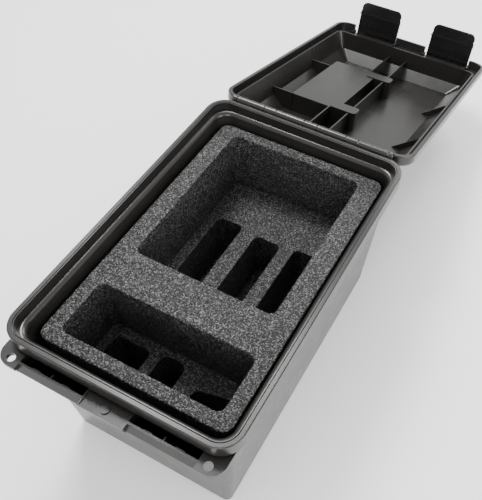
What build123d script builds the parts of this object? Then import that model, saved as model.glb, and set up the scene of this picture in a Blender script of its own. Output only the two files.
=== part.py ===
"""Hinged hard carrying case with a foam insert, standing open.

X runs across the case, +Y points to the hinge, +Z is up.  The origin is the middle of the
tub's flat underside.  All sizes are in millimetres.  The lid, its latches and the carry
handle are drawn with the case shut and then turned into the open position.
"""

import os

from build123d import *

os.makedirs("parts", exist_ok=True)

# ---- driving dimensions -------------------------------------------------------------
case_width = 226
case_length = 347
rim_height = 184
rim_radius = 22
lid_height = 44.5
lid_open_angle = 195.8
wall = 3

# tub
tub_bottom_width = 181
tub_bottom_length = 314
tub_bottom_radius = 7
tub_top_width = 208
tub_top_length = 331
tub_top_radius = 11
flange_bottom = 169
recess_inset = 6
shelf_height = 175
shelf_width = 6
shelf_round = 5
mouth_end_extra = 1
groove_inset = 4.2
groove_width = 0.8
groove_depth = 1.2

# front ledge
ledge_top = 165.4
ledge_thickness = 4
ear_inner_x = 87.2
ear_outer_x = 109.5
ear_length = 30
ear_corner_radius = 14
ear_front_y = -188
ear_hole_x = 96.5
ear_hole_y = -180.7
ear_hole_radius = 4
rail_inner_y = -180.2
rail_lip_width = 2
rail_front_y = -186
rail_thickness = 8
web_front_y = -184
web_back_y = -158
web_front_z = 153
web_back_z = 114
web_height = 3.5
pad_half_width = 22.6
pad_front_y = -188.5
pad_back_y = -170
pad_border = 1.5
pad_recess = 1.2
gusset_depth = 18
fin_length = 3.6
bump_offset = 15

# hinge
hinge_y = 177.7
knuckle_radius = 3.9
hinge_rod_radius = 1.5
hinge_clearance = 0.05
lid_knuckle_length = 33
lid_knuckle_centers = (-72.6, -24.6, 24.6, 72.6)
knuckle_gap = 1.0

# lid
lid_front_y = -171
lid_gap = 0.2
skirt_depth = 13
skirt_thickness = 4.5
flange_plate = 2.5
ring_half_width = 102
ring_front_y = -141.3
ring_back_y = 158.7
ring_drop = 6
ring_thickness = 2
lid_wall = 2.5
facet_top_depth = 29
facet_half_width = 93.5
floor_depth = 42
floor_half_width = 78
floor_inset = 10.5
rib_depth = 19.5
rib_thickness = 1.6

# latches
latch_center_x = 55.25
latch_width = 61.5
latch_notch_width = 66
latch_notch_y = -166.4
latch_pivot_y = -169.3
latch_pivot_height = 19
latch_hub_radius = 3.6
latch_plate_back_y = -173.9
latch_plate_thickness = 2
latch_rib_drop = 17
latch_tip_drop = 33
latch_pin_radius = 1.5
latch_finger_length = 16
latch_finger_radius = 7.5
lug_thickness = 5

# carry handle
pocket_left_x = -69
pocket_right_x = -8
pocket_front_y = -62.3
pocket_back_y = 77.7
hump_half_width = 17
hump_length = 18
handle_axis_x = -1
handle_axis_depth = 33
handle_reach = 53
handle_hub_radius = 8
handle_leg_width = 9
handle_grip_radius = 9
handle_pin_radius = 2.5

# foam insert
foam_top = 162
foam_upper_thickness = 70
foam_pad_top = 30
foam_clear = 0.4
foam_top_half_width = 96.5
foam_front_y = -153
foam_back_y = 159.5
foam_radius = 10

# ---- places worked out from them ----------------------------------------------------
rim_plane = Plane.XY.offset(rim_height)
lid_length = case_length / 2 - lid_front_y
lid_mid_y = case_length / 2 - lid_length / 2
ring_length = ring_back_y - ring_front_y
ring_mid_y = (ring_back_y + ring_front_y) / 2
latch_pivot_z = rim_height + latch_pivot_height
handle_axis_z = rim_height + handle_axis_depth
lid_floor_z = rim_height + floor_depth
lid_top_z = rim_height + lid_height
mouth_width = case_width - 2 * (recess_inset + shelf_width)
mouth_length = case_length - 2 * (recess_inset + shelf_width) + mouth_end_extra
mouth_radius = rim_radius - recess_inset - 2
hinge_axis = Axis((0, hinge_y, rim_height), (1, 0, 0))


def opened(shape):
    """Turn a piece of the shut lid into the open position."""
    return shape.rotate(hinge_axis, -lid_open_angle)


def save(shape, name):
    """Label a finished piece and write it as a STEP file."""
    shape.label = name
    export_step(shape, f"parts/{name}.step")


# ---- base tub -----------------------------------------------------------------------
with BuildPart() as base_tub:
    with BuildSketch():
        RectangleRounded(tub_bottom_width, tub_bottom_length, tub_bottom_radius)
    with BuildSketch(Plane.XY.offset(flange_bottom)):
        RectangleRounded(tub_top_width, tub_top_length, tub_top_radius)
    loft()
    bottom_edges = base_tub.faces().sort_by(Axis.Z)[0].edges()
    fillet(bottom_edges, 3)

    # rim flange around the mouth
    with BuildSketch(Plane.XY.offset(flange_bottom)):
        RectangleRounded(case_width, case_length, rim_radius)
    extrude(amount=rim_height - flange_bottom)
    rim_edges = base_tub.faces().sort_by(Axis.Z)[-1].edges()
    fillet(rim_edges, 1)

    # narrow groove around the rim's flat top
    with BuildSketch(rim_plane):
        RectangleRounded(case_width - 2 * groove_inset, case_length - 2 * groove_inset,
                         rim_radius - groove_inset)
        RectangleRounded(case_width - 2 * (groove_inset + groove_width),
                         case_length - 2 * (groove_inset + groove_width),
                         rim_radius - groove_inset - groove_width, mode=Mode.SUBTRACT)
    extrude(amount=-groove_depth, mode=Mode.SUBTRACT)

    # padlock ears at the two front corners, each on a gusset that closes the channel's end
    ear_width = ear_outer_x - ear_inner_x
    for side in (-1, 1):
        with BuildSketch(Plane.XY.offset(ledge_top)):
            with Locations((side * (ear_inner_x + ear_outer_x) / 2, ear_front_y + ear_length / 2)):
                ear = Rectangle(ear_width, ear_length)
            corner = ear.vertices().sort_by(Axis.Y)[:2].sort_by(Axis.X)[0 if side < 0 else -1]
            fillet(corner, ear_corner_radius)
        extrude(amount=-ledge_thickness)
        with BuildSketch(Plane.YZ.offset(side * (ear_inner_x + 2))):
            with BuildLine():
                Polyline((rail_front_y, ledge_top - 1), (web_back_y, ledge_top - 1),
                         (web_back_y, web_back_z), (web_front_y, web_front_z),
                         (rail_front_y, web_front_z + 3), close=True)
            make_face()
        extrude(amount=1.5, both=True)

    # guard rail standing off the front wall
    with BuildSketch(Plane.YZ):
        with BuildLine():
            Polyline((rail_inner_y, ledge_top), (rail_inner_y - rail_lip_width, ledge_top),
                     (rail_front_y, ledge_top - rail_thickness + 1),
                     (rail_front_y, ledge_top - rail_thickness),
                     (rail_inner_y, ledge_top - rail_thickness), close=True)
        make_face()
    extrude(amount=ear_inner_x + 1, both=True)

    # sloping web that closes the channel behind the rail from below
    with BuildSketch(Plane.YZ):
        with BuildLine():
            Polyline((rail_front_y + 1, ledge_top - rail_thickness + 1), (rail_front_y + 1, web_front_z + 3),
                     (web_front_y, web_front_z), (web_back_y, web_back_z),
                     (web_back_y, web_back_z + web_height), (web_front_y, web_front_z + web_height),
                     (web_front_y, ledge_top - rail_thickness + 1), close=True)
        make_face()
    extrude(amount=ear_inner_x + 1, both=True)

    # centre pad with a raised border and a round boss, on its bracket
    pad_length = pad_back_y - pad_front_y
    pad_mid_y = (pad_back_y + pad_front_y) / 2
    with BuildSketch(Plane.YZ):
        with BuildLine():
            Polyline((-162, ledge_top), (pad_front_y, ledge_top), (pad_front_y, ledge_top - 3.5),
                     (-184, ledge_top - 14), (-179, ledge_top - gusset_depth),
                     (-162, ledge_top - gusset_depth), close=True)
        make_face()
    extrude(amount=pad_half_width, both=True)
    with BuildSketch(Plane.XY.offset(ledge_top)):
        with Locations((0, pad_mid_y + 0.5)):
            Rectangle(2 * pad_half_width - 2 * pad_border, pad_length - pad_border - 0.6)
        with Locations((0, ear_hole_y)):
            Circle(4, mode=Mode.SUBTRACT)
    extrude(amount=-pad_recess, mode=Mode.SUBTRACT)

    # guide fins and detent bumps on the rail's inner side
    for side in (-1, 1):
        with Locations((side * latch_center_x, rail_inner_y, ledge_top - rail_thickness)):
            Box(1, fin_length, rail_thickness, align=(Align.CENTER, Align.MIN, Align.MIN))
        for end in (-1, 1):
            bump_x = side * latch_center_x + end * bump_offset
            with Locations((bump_x, rail_inner_y, ledge_top - rail_thickness)):
                Box(8, 1.2, rail_thickness - 1, align=(Align.CENTER, Align.MIN, Align.MIN))

    # cavity: tapering walls, then the shelf, then the recess under the rim
    with BuildSketch(Plane.XY.offset(wall)):
        RectangleRounded(tub_bottom_width - 2 * wall, tub_bottom_length - 2 * wall,
                         tub_bottom_radius - wall)
    with BuildSketch(Plane.XY.offset(shelf_height - shelf_round - 1)):
        RectangleRounded(mouth_width, mouth_length, mouth_radius)
    loft(mode=Mode.SUBTRACT)
    with BuildSketch(Plane.XY.offset(shelf_height)):
        RectangleRounded(mouth_width, mouth_length, mouth_radius)
    extrude(amount=-shelf_round - 1, mode=Mode.SUBTRACT)
    with BuildSketch(Plane.XY.offset(shelf_height)):
        RectangleRounded(case_width - 2 * recess_inset, case_length - 2 * recess_inset,
                         rim_radius - recess_inset)
    extrude(amount=rim_height - shelf_height, mode=Mode.SUBTRACT)
    shelf = base_tub.faces().filter_by_position(Axis.Z, shelf_height - 0.1, shelf_height + 0.1)[0]
    shelf_edges = shelf.inner_wires()[0].edges()
    fillet(shelf_edges, shelf_round)

    # padlock holes
    with Locations((-ear_hole_x, ear_hole_y, ledge_top), (ear_hole_x, ear_hole_y, ledge_top)):
        Hole(ear_hole_radius, depth=ledge_thickness)

    # hinge knuckles behind the back rim, between and outside the lid's four knuckles
    lug_edges = [-(lid_knuckle_centers[-1] + lid_knuckle_length / 2 + knuckle_gap + 4)]
    for center in lid_knuckle_centers:
        lug_edges += [center - lid_knuckle_length / 2 - knuckle_gap,
                      center + lid_knuckle_length / 2 + knuckle_gap]
    lug_edges.append(lid_knuckle_centers[-1] + lid_knuckle_length / 2 + knuckle_gap + 4)
    for start, end in zip(lug_edges[0::2], lug_edges[1::2]):
        with BuildSketch(Plane.YZ.offset(start)):
            with Locations((hinge_y, rim_height)):
                Circle(knuckle_radius)
            with Locations((case_length / 2 - 1, rim_height - 0.3)):
                Rectangle(hinge_y - case_length / 2 + 1, 3.6, align=(Align.MIN, Align.MAX))
        extrude(amount=end - start)
    with BuildSketch(Plane.YZ.offset(lug_edges[0] - 1)):
        with Locations((hinge_y, rim_height)):
            Circle(hinge_rod_radius)
    extrude(amount=lug_edges[-1] - lug_edges[0] + 2, mode=Mode.SUBTRACT)

save(base_tub.part, "base_tub")

# ---- hinge rod ----------------------------------------------------------------------
with BuildPart() as hinge_rod:
    with BuildSketch(Plane.YZ.offset(lug_edges[0])):
        with Locations((hinge_y, rim_height)):
            Circle(hinge_rod_radius)
    extrude(amount=lug_edges[-1] - lug_edges[0])
    chamfer(hinge_rod.edges().filter_by(GeomType.CIRCLE), 0.4)

save(hinge_rod.part, "hinge_rod")

# ---- lid shell ----------------------------------------------------------------------
with BuildPart() as lid_shell:
    # skirt that meets the tub's rim, and the thinner body rising from it
    with BuildSketch(Plane.XY.offset(rim_height + lid_gap)):
        with Locations((0, lid_mid_y)):
            RectangleRounded(case_width, lid_length, rim_radius - 2)
    extrude(amount=skirt_depth - lid_gap)
    fillet(lid_shell.faces().sort_by(Axis.Z)[-1].edges(), 5)
    fillet(lid_shell.faces().sort_by(Axis.Z)[0].edges(), 1)
    body_front = ring_front_y - lid_wall
    body_back = ring_back_y + lid_wall
    with BuildSketch(Plane.XY.offset(rim_height + skirt_depth - flange_plate)):
        with Locations((0, ring_mid_y)):
            RectangleRounded(2 * (ring_half_width + lid_wall), ring_length + 2 * lid_wall, 14)
    with BuildSketch(Plane.XY.offset(rim_height + facet_top_depth)):
        with Locations((0, ring_mid_y)):
            RectangleRounded(2 * (facet_half_width + lid_wall), ring_length + 2 * lid_wall, 11)
    loft()
    with BuildSketch(Plane.XY.offset(rim_height + facet_top_depth)):
        with Locations((0, ring_mid_y)):
            RectangleRounded(2 * (facet_half_width + lid_wall), ring_length + 2 * lid_wall, 11)
    with BuildSketch(Plane.XY.offset(lid_top_z)):
        with Locations((0, ring_mid_y)):
            RectangleRounded(2 * (floor_half_width + lid_wall),
                             ring_length + 2 * (lid_wall - floor_inset), 7)
    loft()

    # channel inside the skirt, up to the flange plate, around the inner ring wall
    with BuildSketch(rim_plane):
        with Locations((0, lid_mid_y)):
            RectangleRounded(case_width - 2 * skirt_thickness, lid_length - 2 * skirt_thickness,
                             rim_radius - 2 - skirt_thickness)
        with Locations((0, ring_mid_y)):
            RectangleRounded(2 * (ring_half_width + ring_thickness),
                             ring_length + 2 * ring_thickness, 10, mode=Mode.SUBTRACT)
    extrude(amount=skirt_depth - flange_plate, mode=Mode.SUBTRACT)
    with BuildSketch(rim_plane):
        with Locations((0, ring_mid_y)):
            RectangleRounded(2 * (ring_half_width + ring_thickness),
                             ring_length + 2 * ring_thickness, 10)
    extrude(amount=ring_drop, mode=Mode.SUBTRACT)

    # inside of the lid: sloping sides, then the chamfer facets down to the panel
    with BuildSketch(Plane.XY.offset(rim_height + ring_drop)):
        with Locations((0, ring_mid_y)):
            RectangleRounded(2 * ring_half_width, ring_length, 8)
    with BuildSketch(Plane.XY.offset(rim_height + facet_top_depth)):
        with Locations((0, ring_mid_y)):
            RectangleRounded(2 * facet_half_width, ring_length, 6)
    loft(mode=Mode.SUBTRACT)
    with BuildSketch(Plane.XY.offset(rim_height + facet_top_depth)):
        with Locations((0, ring_mid_y)):
            RectangleRounded(2 * facet_half_width, ring_length, 6)
    with BuildSketch(Plane.XY.offset(lid_floor_z)):
        with Locations((0, ring_mid_y)):
            RectangleRounded(2 * floor_half_width, ring_length - 2 * floor_inset, 3)
    loft(mode=Mode.SUBTRACT)

    # recesses in the front skirt for the two latches
    for side in (-1, 1):
        with BuildSketch(rim_plane):
            with Locations((side * latch_center_x, latch_notch_y)):
                Rectangle(latch_notch_width, 10, align=(Align.CENTER, Align.MAX))
        extrude(amount=skirt_depth, mode=Mode.SUBTRACT)

    # raised underside of the handle pocket and the two humps over its pivots
    pocket_height = lid_top_z - 1 - (rim_height + rib_depth)
    hump_centers = (pocket_front_y + hump_length / 2, pocket_back_y - hump_length / 2)
    with BuildSketch(Plane.XY.offset(rim_height + rib_depth)):
        with Locations(((pocket_left_x + pocket_right_x) / 2,
                        (pocket_front_y + pocket_back_y) / 2)):
            RectangleRounded(pocket_right_x - pocket_left_x, pocket_back_y - pocket_front_y, 4)
    extrude(amount=pocket_height)
    with BuildSketch(Plane.XY.offset(rim_height + rib_depth - 1)):
        for center in hump_centers:
            with Locations((handle_axis_x - 1, center)):
                RectangleRounded(2 * hump_half_width, hump_length, 5)
    extrude(amount=pocket_height + 1)

    # stiffening ribs: across at both sides, and lengthwise to the front and back walls
    rib_z = rim_height + rib_depth
    facet_z = rim_height + facet_top_depth
    root_z = lid_floor_z + 1
    rib_x = (handle_axis_x - hump_half_width - 1, handle_axis_x + 7)
    for rib_y in (pocket_back_y - 1, pocket_front_y + 22):
        with BuildSketch(Plane.XZ.offset(-rib_y)):
            with BuildLine():
                Polyline((pocket_left_x + 1, rib_z), (-facet_half_width - 4, rib_z),
                         (-facet_half_width - 1, facet_z), (-floor_half_width - 1, root_z),
                         (pocket_left_x + 1, root_z), close=True)
            make_face()
            with BuildLine():
                Polyline((facet_half_width + 4, rib_z), (facet_half_width + 1, facet_z),
                         (floor_half_width + 1, root_z), (floor_half_width - 12, root_z),
                         close=True)
            make_face()
        extrude(amount=rib_thickness / 2, both=True)
    for x in rib_x:
        with BuildSketch(Plane.YZ.offset(x)):
            with BuildLine():
                Polyline((pocket_back_y - 2, rib_z), (ring_back_y + 1, rib_z),
                         (ring_back_y + 1, facet_z), (ring_back_y - floor_inset + 1, root_z),
                         (pocket_back_y - 2, root_z), close=True)
            make_face()
            with BuildLine():
                Polyline((pocket_front_y + 2, rib_z), (ring_front_y - 1, rib_z),
                         (ring_front_y - 1, facet_z), (ring_front_y + floor_inset - 1, root_z),
                         (pocket_front_y + 2, root_z), close=True)
            make_face()
        extrude(amount=rib_thickness / 2, both=True)
    with BuildSketch(Plane.XY.offset(rib_z)):
        with Locations((rib_x[1], (pocket_front_y + pocket_back_y) / 2)):
            Rectangle(rib_thickness, pocket_back_y - pocket_front_y - hump_length)
    extrude(amount=root_z - rib_z)

    # handle pocket, open to the outside of the lid
    with BuildSketch(Plane.XY.offset(lid_top_z)):
        with Locations(((pocket_left_x + pocket_right_x) / 2,
                        (pocket_front_y + pocket_back_y) / 2)):
            RectangleRounded(pocket_right_x - pocket_left_x - 2 * lid_wall,
                             pocket_back_y - pocket_front_y - 2 * lid_wall, 3)
        for center in hump_centers:
            with Locations((handle_axis_x - 1, center)):
                RectangleRounded(2 * (hump_half_width - lid_wall), hump_length - 2 * lid_wall, 2)
    extrude(amount=-(lid_height - rib_depth - lid_wall), mode=Mode.SUBTRACT)
    for center in hump_centers:
        with BuildSketch(Plane.XZ.offset(-(center - hump_length / 2 + 0.4))):
            with Locations((handle_axis_x, handle_axis_z)):
                Circle(handle_pin_radius)
        extrude(amount=-(hump_length - 0.8), mode=Mode.SUBTRACT)

    # latch lugs on the front of the lid
    for side in (-1, 1):
        for lug_x in (side * (latch_center_x - latch_width / 2 - 0.6 - lug_thickness / 2),
                      side * (latch_center_x + latch_width / 2 + 0.6 + lug_thickness / 2)):
            with BuildSketch(Plane.YZ.offset(lug_x)):
                with Locations((latch_pivot_y, latch_pivot_z)):
                    Circle(latch_hub_radius)
                with BuildLine():
                    Polyline((latch_pivot_y - latch_hub_radius, latch_pivot_z),
                             (latch_pivot_y - 1.7, rim_height + 8),
                             (latch_notch_y + 8, rim_height + 8),
                             (latch_notch_y + 8, rim_height + skirt_depth),
                             (latch_pivot_y + latch_hub_radius, latch_pivot_z + 1), close=True)
                make_face()
            extrude(amount=lug_thickness / 2, both=True)
        with BuildSketch(Plane.YZ.offset(side * latch_center_x)):
            with Locations((latch_pivot_y, latch_pivot_z)):
                Circle(latch_pin_radius)
        extrude(amount=latch_width / 2 + lug_thickness + 1, both=True, mode=Mode.SUBTRACT)

    # hinge knuckles on the back of the skirt
    for center in lid_knuckle_centers:
        with BuildSketch(Plane.YZ.offset(center)):
            with Locations((hinge_y, rim_height)):
                Circle(knuckle_radius)
            with Locations((case_length / 2 - 2, rim_height + 0.3)):
                Rectangle(hinge_y - case_length / 2 + 2, 3.6, align=(Align.MIN, Align.MIN))
            with Locations((hinge_y, rim_height)):
                Circle(hinge_rod_radius + hinge_clearance, mode=Mode.SUBTRACT)
        extrude(amount=lid_knuckle_length / 2, both=True)

lid_open = opened(lid_shell.part)
save(lid_open, "lid_shell")

# ---- latches and their pins ---------------------------------------------------------
for side, side_name in ((-1, "left"), (1, "right")):
    plate_front_y = latch_plate_back_y - latch_plate_thickness
    with BuildPart() as latch:
        with BuildSketch(Plane.YZ.offset(side * latch_center_x)):
            with Locations((latch_pivot_y, latch_pivot_z)):
                Circle(latch_hub_radius)
            with BuildLine():
                Polyline((latch_pivot_y, latch_pivot_z + latch_hub_radius),
                         (plate_front_y + 1.5, latch_pivot_z + latch_hub_radius),
                         (plate_front_y, latch_pivot_z + latch_hub_radius - 1.5),
                         (plate_front_y, rim_height - latch_tip_drop + 12),
                         (latch_plate_back_y, rim_height - latch_tip_drop + 12),
                         (latch_plate_back_y, latch_pivot_z - 1),
                         (latch_pivot_y, latch_pivot_z), close=True)
            make_face()
            with Locations((latch_pivot_y, latch_pivot_z)):
                Circle(latch_pin_radius + hinge_clearance, mode=Mode.SUBTRACT)
        extrude(amount=latch_width / 2, both=True)
        # rounded finger pull at the free end, thicker than the plate
        with BuildSketch(Plane.XZ.offset(-plate_front_y)):
            with Locations((side * latch_center_x, rim_height - latch_tip_drop + 8)):
                RectangleRounded(latch_width - 1, latch_finger_length, latch_finger_radius)
        extrude(amount=-latch_plate_thickness)
        with Locations((side * latch_center_x, latch_plate_back_y, rim_height - latch_rib_drop)):
            Box(latch_width + 1.6, 2.2, 1.6, align=(Align.CENTER, Align.MIN, Align.CENTER))
        with Locations((side * latch_center_x, latch_plate_back_y, rim_height - latch_tip_drop + 2.2)):
            Box(latch_width - 12, 1.2, 2, align=(Align.CENTER, Align.MIN, Align.CENTER))
    latch_open = opened(latch.part)
    save(latch_open, f"latch_{side_name}")

    with BuildPart() as latch_pin:
        with BuildSketch(Plane.YZ.offset(side * latch_center_x)):
            with Locations((latch_pivot_y, latch_pivot_z)):
                Circle(latch_pin_radius)
        extrude(amount=latch_width / 2 + 0.6 + lug_thickness, both=True)
        chamfer(latch_pin.edges().filter_by(GeomType.CIRCLE), 0.3)
    pin_open = opened(latch_pin.part)
    save(pin_open, f"latch_pin_{side_name}")

# ---- carry handle and its pins ------------------------------------------------------
grip_z = handle_axis_z + handle_reach
with BuildPart() as carry_handle:
    for center in hump_centers:
        with BuildSketch(Plane.XZ.offset(-center)):
            with Locations((handle_axis_x, handle_axis_z)):
                Circle(handle_hub_radius)
            with Locations((handle_axis_x, handle_axis_z + handle_reach / 2)):
                Rectangle(12, handle_reach)
            with Locations((handle_axis_x, handle_axis_z)):
                Circle(handle_pin_radius + hinge_clearance, mode=Mode.SUBTRACT)
        extrude(amount=handle_leg_width / 2, both=True)
    with BuildSketch(Plane.XZ.offset(-(hump_centers[0] - handle_leg_width / 2))):
        with Locations((handle_axis_x, grip_z)):
            Ellipse(handle_grip_radius, 7.5)
    extrude(amount=-(hump_centers[1] - hump_centers[0] + handle_leg_width))
    grip_ends = carry_handle.edges().filter_by(GeomType.ELLIPSE)
    fillet(grip_ends, 2)

handle_open = opened(carry_handle.part)
save(handle_open, "carry_handle")

for center, end_name in zip(hump_centers, ("front", "back")):
    with BuildPart() as handle_pin:
        with BuildSketch(Plane.XZ.offset(-(center - hump_length / 2 + 0.4))):
            with Locations((handle_axis_x, handle_axis_z)):
                Circle(handle_pin_radius)
        extrude(amount=-(hump_length - 0.8))
    handle_pin_open = opened(handle_pin.part)
    save(handle_pin_open, f"handle_pin_{end_name}")

# ---- foam insert --------------------------------------------------------------------
foam_length = foam_back_y - foam_front_y
foam_mid_y = (foam_back_y + foam_front_y) / 2
well_floor = foam_top - foam_upper_thickness
taper = 0.075


def foam_outline(z):
    """Width and length of the insert at a height; it narrows with the tub."""
    drop = foam_top - z
    return 2 * foam_top_half_width - 2 * taper * drop, foam_length - taper * drop


with BuildPart() as foam_upper:
    for z in (well_floor, foam_top):
        with BuildSketch(Plane.XY.offset(z)):
            with Locations((0, foam_mid_y)):
                RectangleRounded(*foam_outline(z), foam_radius)
    loft()
    with BuildSketch(Plane.XY.offset(foam_top)):
        with Locations((-1.5, 55)):
            RectangleRounded(149, 184, 6)
        with Locations((0, -110)):
            RectangleRounded(163, 57, 7)
    extrude(amount=-foam_upper_thickness, mode=Mode.SUBTRACT)

save(foam_upper.part, "foam_upper")

with BuildPart() as foam_lower:
    lower_top = well_floor - foam_clear
    for z in (foam_pad_top, lower_top):
        with BuildSketch(Plane.XY.offset(z)):
            with Locations((0, foam_mid_y)):
                RectangleRounded(*foam_outline(z), foam_radius)
    loft()
    with BuildSketch(Plane.XY.offset(lower_top)):
        with Locations((-50, 40), (0, 36), (47, 40)):
            RectangleRounded(30, 96, 5)
        with Locations((-52, -104)):
            RectangleRounded(40, 24, 4)
        with Locations((-6, -108)):
            RectangleRounded(26, 40, 8)
        with Locations(Location((48, -114), 12)):
            RectangleRounded(40, 25, 8)
    extrude(amount=-(lower_top - foam_pad_top), mode=Mode.SUBTRACT)

save(foam_lower.part, "foam_lower")

with BuildPart() as foam_base_pad:
    pad_bottom = wall + 0.3
    pad_upper = foam_pad_top - foam_clear
    for z in (pad_bottom, pad_upper):
        with BuildSketch(Plane.XY.offset(z)):
            with Locations((0, foam_mid_y)):
                RectangleRounded(*foam_outline(z), foam_radius)
    loft()

save(foam_base_pad.part, "foam_base_pad")
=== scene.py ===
import math

import bmesh
import bpy
from mathutils import Matrix, Vector, noise


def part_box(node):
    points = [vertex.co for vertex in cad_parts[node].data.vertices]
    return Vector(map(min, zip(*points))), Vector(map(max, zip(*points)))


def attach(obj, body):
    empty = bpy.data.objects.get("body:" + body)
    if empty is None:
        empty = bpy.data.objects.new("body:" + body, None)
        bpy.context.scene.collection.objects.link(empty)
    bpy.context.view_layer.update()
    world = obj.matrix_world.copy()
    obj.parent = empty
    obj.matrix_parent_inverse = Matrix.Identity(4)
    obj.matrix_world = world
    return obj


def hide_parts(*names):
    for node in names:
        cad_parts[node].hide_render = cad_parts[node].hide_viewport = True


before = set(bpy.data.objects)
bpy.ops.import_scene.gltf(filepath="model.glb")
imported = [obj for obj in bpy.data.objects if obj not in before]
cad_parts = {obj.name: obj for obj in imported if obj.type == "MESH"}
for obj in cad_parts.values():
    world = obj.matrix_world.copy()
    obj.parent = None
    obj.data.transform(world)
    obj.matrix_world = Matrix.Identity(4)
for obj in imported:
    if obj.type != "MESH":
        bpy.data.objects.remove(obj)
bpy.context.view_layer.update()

# Lengths are in metres, apart from the camera's lens and sensor, which are in millimetres.
# Lamp powers are in watts and texture scales in cells per metre.
SEED = 7

# ---- camera: high, in front of the case and to its right -------------------------------
CAMERA_PLACE = Vector((0.2229, -0.3115, 0.6490))
CAMERA_FORWARD = Vector((-0.26761, 0.53611, -0.80061))
CAMERA_ROLL = math.radians(1.94)
CAMERA_LENS = 47.07
CAMERA_SHIFT = (-0.0940, 0.0360)
SENSOR_WIDTH = 36

# ---- studio: a white surround, a pale floor and soft square lamps ----------------------
SURROUND_STRENGTH = 1.2
FLOOR_SIZE = 12
FLOOR_DROP = 0.0005
FLOOR_SHADE = 0.98
FLOOR_ROUGHNESS = 0.9
# name, place, the point it is aimed at, width, power
LAMPS = (
    ("key_lamp", (-0.5, 0.5, 1.4), (0, 0.1, 0.1), 0.45, 26),
    ("back_lamp", (0.1, 1.5, 1.1), (0, 0.2, 0.1), 0.6, 14),
    ("front_lamp", (0.5, -1.4, 0.5), (0, 0, 0.1), 0.8, 14),
    ("side_lamp", (1.6, -0.3, 0.3), (0.1, 0, 0.1), 1.0, 30),
)

# ---- moulded plastic: wide colour drift, patches of gloss and a fine grain -------------
DRIFT_SCALE = 14
DRIFT_DARK_AT = 0.3
DRIFT_LIGHT_AT = 0.75
GLOSS_SCALE = 60
GLOSS_DROP = 0.05
GLOSS_RISE = 0.07
GRAIN_DETAIL = 2
GRAIN_STRENGTH = 0.2
PLASTIC_SPECULAR = 0.5

# ---- steel pins ------------------------------------------------------------------------
STEEL_SCALE = 400
STEEL_STOPS = ((0.3, (0.42,) * 3), (0.7, (0.58,) * 3))
STEEL_ROUGHNESS = 0.35

# ---- foam: rounded cut edges, lumps of about 2 mm in the skin and beads of 1 mm --------
WELD_DISTANCE = 1e-6
FLAT_ANGLE = math.radians(1)
EDGE_ANGLE = math.radians(50)
EDGE_ROUND = 0.0022
EDGE_SEGMENTS = 3
FOAM_VOXEL = 0.0013
LUMP_SIZE = 0.0022
LUMP_HEIGHT = 0.0003
BEAD_SIZE = 0.001
BEAD_HEIGHT = 0.0005
BEAD_STRENGTH = 1.0
# the share of beads that are darker than each shade: the beads differ in tone at random, and the palest
# ones are painted glints
BEAD_TONES_AND_GLINTS = (
    (0.0, (0.003,) * 3),
    (0.4, (0.013,) * 3),
    (0.75, (0.045,) * 3),
    (1.0, (0.16, 0.16, 0.156)),
)
FOAM_ROUGHNESS = 0.42
FOAM_SPECULAR = 0.25

PINS = ("hinge_rod", "latch_pin_left", "latch_pin_right", "handle_pin_front", "handle_pin_back")
FOAM_PIECES = ("foam_upper", "foam_lower", "foam_base_pad")


def add_camera():
    """The camera. Its horizon is level apart from a small roll."""
    data = bpy.data.cameras.new("camera")
    data.lens = CAMERA_LENS
    data.sensor_width = SENSOR_WIDTH
    data.shift_x, data.shift_y = CAMERA_SHIFT
    camera = bpy.data.objects.new("camera", data)
    bpy.context.scene.collection.objects.link(camera)
    aim = CAMERA_FORWARD.to_track_quat("-Z", "Y").to_matrix().to_4x4()
    roll = Matrix.Rotation(CAMERA_ROLL, 4, "Z")
    camera.matrix_world = Matrix.Translation(CAMERA_PLACE) @ aim @ roll
    bpy.context.scene.camera = camera


def add_light(name, place, target, size, power):
    """A soft square lamp aimed at a point."""
    data = bpy.data.lights.new(name, "AREA")
    data.shape = "SQUARE"
    data.size = size
    data.energy = power
    lamp = bpy.data.objects.new(name, data)
    lamp.location = place
    lamp.rotation_euler = (Vector(target) - Vector(place)).to_track_quat("-Z", "Y").to_euler()
    bpy.context.scene.collection.objects.link(lamp)


def add_studio():
    """The surround, the lamps and the floor."""
    world = bpy.data.worlds.new("studio")
    world.use_nodes = True
    surround = world.node_tree.nodes["Background"]
    surround.inputs["Color"].default_value = (1, 1, 1, 1)
    surround.inputs["Strength"].default_value = SURROUND_STRENGTH
    bpy.context.scene.world = world
    for lamp in LAMPS:
        add_light(*lamp)
    bpy.ops.mesh.primitive_plane_add(size=FLOOR_SIZE, location=(0, 0, -FLOOR_DROP))
    floor = bpy.context.object
    floor.name = "floor"
    material, shader, _, _ = new_material("floor_paper")
    shader.inputs["Base Color"].default_value = (FLOOR_SHADE, FLOOR_SHADE, FLOOR_SHADE, 1)
    shader.inputs["Roughness"].default_value = FLOOR_ROUGHNESS
    floor.data.materials.append(material)


def new_material(name):
    """An empty node material: itself, its shader, its nodes and its links."""
    material = bpy.data.materials.new(name)
    material.use_nodes = True
    nodes = material.node_tree.nodes
    return material, nodes["Principled BSDF"], nodes, material.node_tree.links


def noise_node(nodes, links, scale, detail=3):
    """Noise that follows the piece itself."""
    place = nodes.new("ShaderNodeTexCoord")
    texture = nodes.new("ShaderNodeTexNoise")
    texture.inputs["Scale"].default_value = scale
    texture.inputs["Detail"].default_value = detail
    links.new(place.outputs["Object"], texture.inputs["Vector"])
    return texture


def ramp_node(nodes, links, source, stops):
    """Maps a texture's value to the colours in stops."""
    ramp = nodes.new("ShaderNodeValToRGB")
    elements = ramp.color_ramp.elements
    while len(elements) < len(stops):
        elements.new(0.5)
    for element, (position, shade) in zip(elements, stops):
        element.position = position
        element.color = (*shade, 1)
    links.new(source, ramp.inputs["Fac"])
    return ramp


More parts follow.
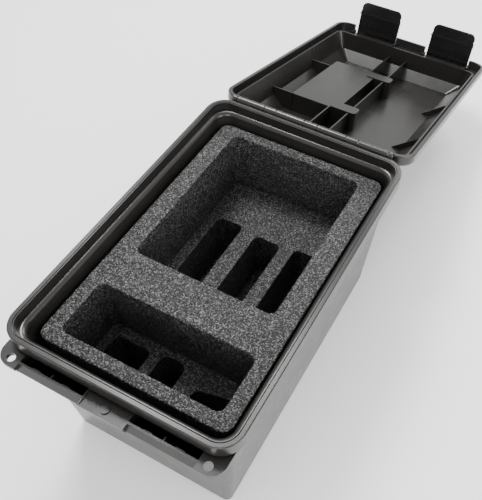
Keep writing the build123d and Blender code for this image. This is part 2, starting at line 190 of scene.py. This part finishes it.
def moulded_plastic(name, dark, light, rough, grain_scale, grain_depth):
    """Satin moulded plastic between two close colours."""
    material, shader, nodes, links = new_material(name)
    drift = noise_node(nodes, links, DRIFT_SCALE)
    stops = ((DRIFT_DARK_AT, dark), (DRIFT_LIGHT_AT, light))
    colour = ramp_node(nodes, links, drift.outputs["Fac"], stops)
    links.new(colour.outputs["Color"], shader.inputs["Base Color"])
    gloss = noise_node(nodes, links, GLOSS_SCALE)
    spread = nodes.new("ShaderNodeMapRange")
    spread.inputs["To Min"].default_value = rough - GLOSS_DROP
    spread.inputs["To Max"].default_value = rough + GLOSS_RISE
    links.new(gloss.outputs["Fac"], spread.inputs["Value"])
    links.new(spread.outputs["Result"], shader.inputs["Roughness"])
    grain = noise_node(nodes, links, grain_scale, GRAIN_DETAIL)
    bump = nodes.new("ShaderNodeBump")
    bump.inputs["Strength"].default_value = GRAIN_STRENGTH
    bump.inputs["Distance"].default_value = grain_depth
    links.new(grain.outputs["Fac"], bump.inputs["Height"])
    links.new(bump.outputs["Normal"], shader.inputs["Normal"])
    shader.inputs["Specular IOR Level"].default_value = PLASTIC_SPECULAR
    return material


def pin_steel():
    """Plain steel with a faint mottle."""
    material, shader, nodes, links = new_material("pin_steel")
    shade = noise_node(nodes, links, STEEL_SCALE)
    colour = ramp_node(nodes, links, shade.outputs["Fac"], STEEL_STOPS)
    links.new(colour.outputs["Color"], shader.inputs["Base Color"])
    shader.inputs["Metallic"].default_value = 1.0
    shader.inputs["Roughness"].default_value = STEEL_ROUGHNESS
    return material


def bead_foam():
    """Black bead foam, with some of the beads paler than the rest: their tone differs at random, and
    the palest beads are painted glints.
    """
    material, shader, nodes, links = new_material("bead_foam")
    place = nodes.new("ShaderNodeTexCoord")
    beads = nodes.new("ShaderNodeTexVoronoi")
    beads.inputs["Scale"].default_value = 1 / BEAD_SIZE
    links.new(place.outputs["Object"], beads.inputs["Vector"])
    # each bead gets a random value that picks its tone; the palest tones are painted glints of light on
    # the glossy foam skin
    bead_tone_and_glint = nodes.new("ShaderNodeSeparateColor")
    links.new(beads.outputs["Color"], bead_tone_and_glint.inputs["Color"])
    colour = ramp_node(nodes, links, bead_tone_and_glint.outputs["Red"], BEAD_TONES_AND_GLINTS)
    links.new(colour.outputs["Color"], shader.inputs["Base Color"])
    bump = nodes.new("ShaderNodeBump")
    bump.invert = True
    bump.inputs["Strength"].default_value = BEAD_STRENGTH
    bump.inputs["Distance"].default_value = BEAD_HEIGHT
    links.new(beads.outputs["Distance"], bump.inputs["Height"])
    links.new(bump.outputs["Normal"], shader.inputs["Normal"])
    shader.inputs["Roughness"].default_value = FOAM_ROUGHNESS
    shader.inputs["Specular IOR Level"].default_value = FOAM_SPECULAR
    return material


def round_edges(mesh):
    """Joins the mesh's triangles into flat faces and rounds every edge sharper than EDGE_ANGLE."""
    bm = bmesh.new()
    bm.from_mesh(mesh)
    bmesh.ops.remove_doubles(bm, verts=bm.verts, dist=WELD_DISTANCE)
    bmesh.ops.dissolve_limit(bm, angle_limit=FLAT_ANGLE, verts=bm.verts, edges=bm.edges)
    sharp = [
        edge for edge in bm.edges
        if len(edge.link_faces) == 2 and edge.calc_face_angle(0) > EDGE_ANGLE
    ]
    bmesh.ops.bevel(
        bm, geom=sharp, offset=EDGE_ROUND, segments=EDGE_SEGMENTS, affect="EDGES", clamp_overlap=True
    )
    bmesh.ops.triangulate(bm, faces=bm.faces)
    bm.to_mesh(mesh)
    bm.free()


def even_grid(piece):
    """Remeshes a piece into small faces of one size."""
    remesh = piece.modifiers.new("even_grid", "REMESH")
    remesh.mode = "VOXEL"
    remesh.voxel_size = FOAM_VOXEL
    bpy.context.view_layer.objects.active = piece
    bpy.ops.object.modifier_apply(modifier=remesh.name)


def add_lumps(piece, low, high):
    """Sinks the skin into soft lumps and keeps it inside the box from low to high."""
    bm = bmesh.new()
    bm.from_mesh(piece.data)
    bm.normal_update()
    for vertex in bm.verts:
        lump = noise.noise(vertex.co / LUMP_SIZE + Vector((SEED, 0, 0)))
        moved = vertex.co + vertex.normal * (lump - 1) * LUMP_HEIGHT
        vertex.co = Vector(min(max(value, least), most) for value, least, most in zip(moved, low, high))
    bm.to_mesh(piece.data)
    bm.free()
    for face in piece.data.polygons:
        face.use_smooth = True


def cut_foam(node, material):
    """Stands for a CAD foam piece: the same cuts, with softened edges and a lumpy skin."""
    low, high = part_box(node)
    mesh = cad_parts[node].data.copy()
    mesh.materials.clear()
    piece = bpy.data.objects.new(f"{node}_skin", mesh)
    bpy.context.scene.collection.objects.link(piece)
    round_edges(mesh)
    even_grid(piece)
    add_lumps(piece, low, high)
    piece.data.materials.append(material)
    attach(piece, "base")
    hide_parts(node)


def paint(node, material):
    """Gives a carried-over CAD node its finish."""
    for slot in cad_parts[node].material_slots:
        slot.material = material


add_camera()
add_studio()
case_plastic = moulded_plastic(
    "case_plastic",
    dark=(0.009, 0.0083, 0.0076),
    light=(0.014, 0.013, 0.012),
    rough=0.28,
    grain_scale=900,
    grain_depth=0.00004,
)
latch_plastic = moulded_plastic(
    "latch_plastic",
    dark=(0.004,) * 3,
    light=(0.006,) * 3,
    rough=0.25,
    grain_scale=900,
    grain_depth=0.00004,
)
handle_plastic = moulded_plastic(
    "handle_plastic",
    dark=(0.008,) * 3,
    light=(0.012,) * 3,
    rough=0.4,
    grain_scale=700,
    grain_depth=0.00008,
)
steel = pin_steel()
foam = bead_foam()
for node in ("base_tub", "lid_shell"):
    paint(node, case_plastic)
for node in ("latch_left", "latch_right"):
    paint(node, latch_plastic)
paint("carry_handle", handle_plastic)
for node in PINS:
    paint(node, steel)
for node in FOAM_PIECES:
    cut_foam(node, foam)
